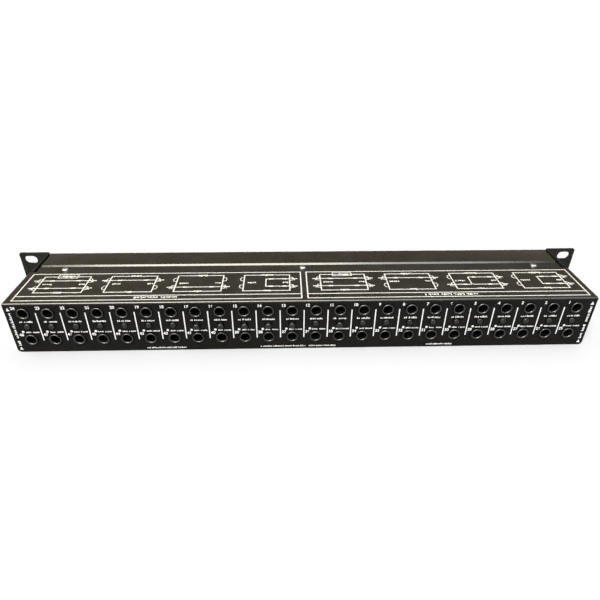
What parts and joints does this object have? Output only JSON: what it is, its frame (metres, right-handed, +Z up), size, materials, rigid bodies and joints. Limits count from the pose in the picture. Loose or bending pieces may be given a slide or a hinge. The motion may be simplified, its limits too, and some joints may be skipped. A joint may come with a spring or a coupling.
{
  "type": "audio patch bay",
  "caption": "Rack-mount audio patch bay: a shallow black steel box with two rows of phone jacks on the front and the back, latching mode buttons behind, a screwed lid and slotted ears.",
  "frame": {"origin": "middle of the underside, on the surface it stands on, halfway between the foremost and the rearmost point", "axes": "+X to the right as seen from the front, along the row of channels; -Y out of the front face; +Y out of the rear face, where the buttons are; +Z up"},
  "size_m": [0.4826, 0.0868, 0.045],
  "materials": {
    "black_paint": "satin black powder coat, fine texture",
    "screw_steel": "zinc plated",
    "jack_plastic": "gloss black",
    "button_plastic": "satin black"
  },
  "bodies": {
    "chassis": {"base_tray": "black_paint", "rear_panel": "black_paint", "front_panel": "black_paint", "front_top_rail": "black_paint", "top_cover": "black_paint", "rack_ear_right": "black_paint", "rack_ear_left": "black_paint", "cover_screw_left": "screw_steel", "cover_screw_centre": "screw_steel", "cover_screw_right": "screw_steel", "ear_screw_right": "screw_steel", "ear_screw_left": "screw_steel", "jack_card_01": "jack_plastic", "jack_card_02": "jack_plastic", "jack_card_03": "jack_plastic", "jack_card_04": "jack_plastic", "jack_card_05": "jack_plastic", "jack_card_06": "jack_plastic", "jack_card_07": "jack_plastic", "jack_card_08": "jack_plastic", "jack_card_09": "jack_plastic", "jack_card_10": "jack_plastic", "jack_card_11": "jack_plastic", "jack_card_12": "jack_plastic", "jack_card_13": "jack_plastic", "jack_card_14": "jack_plastic", "jack_card_15": "jack_plastic", "jack_card_16": "jack_plastic", "jack_card_17": "jack_plastic", "jack_card_18": "jack_plastic", "jack_card_19": "jack_plastic", "jack_card_20": "jack_plastic", "jack_card_21": "jack_plastic", "jack_card_22": "jack_plastic", "jack_card_23": "jack_plastic", "jack_card_24": "jack_plastic"},
    "button_01": {"mode_button_01": "button_plastic"},
    "button_02": {"mode_button_02": "button_plastic"},
    "button_03": {"mode_button_03": "button_plastic"},
    "button_04": {"mode_button_04": "button_plastic"},
    "button_05": {"mode_button_05": "button_plastic"},
    "button_06": {"mode_button_06": "button_plastic"},
    "button_07": {"mode_button_07": "button_plastic"},
    "button_08": {"mode_button_08": "button_plastic"},
    "button_09": {"mode_button_09": "button_plastic"},
    "button_10": {"mode_button_10": "button_plastic"},
    "button_11": {"mode_button_11": "button_plastic"},
    "button_12": {"mode_button_12": "button_plastic"},
    "button_13": {"mode_button_13": "button_plastic"},
    "button_14": {"mode_button_14": "button_plastic"},
    "button_15": {"mode_button_15": "button_plastic"},
    "button_16": {"mode_button_16": "button_plastic"},
    "button_17": {"mode_button_17": "button_plastic"},
    "button_18": {"mode_button_18": "button_plastic"},
    "button_19": {"mode_button_19": "button_plastic"},
    "button_20": {"mode_button_20": "button_plastic"},
    "button_21": {"mode_button_21": "button_plastic"},
    "button_22": {"mode_button_22": "button_plastic"},
    "button_23": {"mode_button_23": "button_plastic"},
    "button_24": {"mode_button_24": "button_plastic"}
  },
  "joints": [
    {"name": "button_01_press", "type": "slide", "parent": "chassis", "child": "button_01", "axis": [0, 1, 0], "range_m": [0, 0.003]},
    {"name": "button_02_press", "type": "slide", "parent": "chassis", "child": "button_02", "axis": [0, 1, 0], "range_m": [0, 0.003]},
    {"name": "button_03_press", "type": "slide", "parent": "chassis", "child": "button_03", "axis": [0, 1, 0], "range_m": [0, 0.003]},
    {"name": "button_04_press", "type": "slide", "parent": "chassis", "child": "button_04", "axis": [0, 1, 0], "range_m": [0, 0.003]},
    {"name": "button_05_press", "type": "slide", "parent": "chassis", "child": "button_05", "axis": [0, 1, 0], "range_m": [0, 0.003]},
    {"name": "button_06_press", "type": "slide", "parent": "chassis", "child": "button_06", "axis": [0, 1, 0], "range_m": [0, 0.003]},
    {"name": "button_07_press", "type": "slide", "parent": "chassis", "child": "button_07", "axis": [0, 1, 0], "range_m": [0, 0.003]},
    {"name": "button_08_press", "type": "slide", "parent": "chassis", "child": "button_08", "axis": [0, 1, 0], "range_m": [0, 0.003]},
    {"name": "button_09_press", "type": "slide", "parent": "chassis", "child": "button_09", "axis": [0, 1, 0], "range_m": [0, 0.003]},
    {"name": "button_10_press", "type": "slide", "parent": "chassis", "child": "button_10", "axis": [0, 1, 0], "range_m": [0, 0.003]},
    {"name": "button_11_press", "type": "slide", "parent": "chassis", "child": "button_11", "axis": [0, 1, 0], "range_m": [-0.003, 0]},
    {"name": "button_12_press", "type": "slide", "parent": "chassis", "child": "button_12", "axis": [0, 1, 0], "range_m": [0, 0.003]},
    {"name": "button_13_press", "type": "slide", "parent": "chassis", "child": "button_13", "axis": [0, 1, 0], "range_m": [-0.003, 0]},
    {"name": "button_14_press", "type": "slide", "parent": "chassis", "child": "button_14", "axis": [0, 1, 0], "range_m": [-0.003, 0]},
    {"name": "button_15_press", "type": "slide", "parent": "chassis", "child": "button_15", "axis": [0, 1, 0], "range_m": [-0.003, 0]},
    {"name": "button_16_press", "type": "slide", "parent": "chassis", "child": "button_16", "axis": [0, 1, 0], "range_m": [-0.003, 0]},
    {"name": "button_17_press", "type": "slide", "parent": "chassis", "child": "button_17", "axis": [0, 1, 0], "range_m": [-0.003, 0]},
    {"name": "button_18_press", "type": "slide", "parent": "chassis", "child": "button_18", "axis": [0, 1, 0], "range_m": [0, 0.003]},
    {"name": "button_19_press", "type": "slide", "parent": "chassis", "child": "button_19", "axis": [0, 1, 0], "range_m": [0, 0.003]},
    {"name": "button_20_press", "type": "slide", "parent": "chassis", "child": "button_20", "axis": [0, 1, 0], "range_m": [0, 0.003]},
    {"name": "button_21_press", "type": "slide", "parent": "chassis", "child": "button_21", "axis": [0, 1, 0], "range_m": [0, 0.003]},
    {"name": "button_22_press", "type": "slide", "parent": "chassis", "child": "button_22", "axis": [0, 1, 0], "range_m": [0, 0.003]},
    {"name": "button_23_press", "type": "slide", "parent": "chassis", "child": "button_23", "axis": [0, 1, 0], "range_m": [0, 0.003]},
    {"name": "button_24_press", "type": "slide", "parent": "chassis", "child": "button_24", "axis": [0, 1, 0], "range_m": [0, 0.003]}
  ]
}
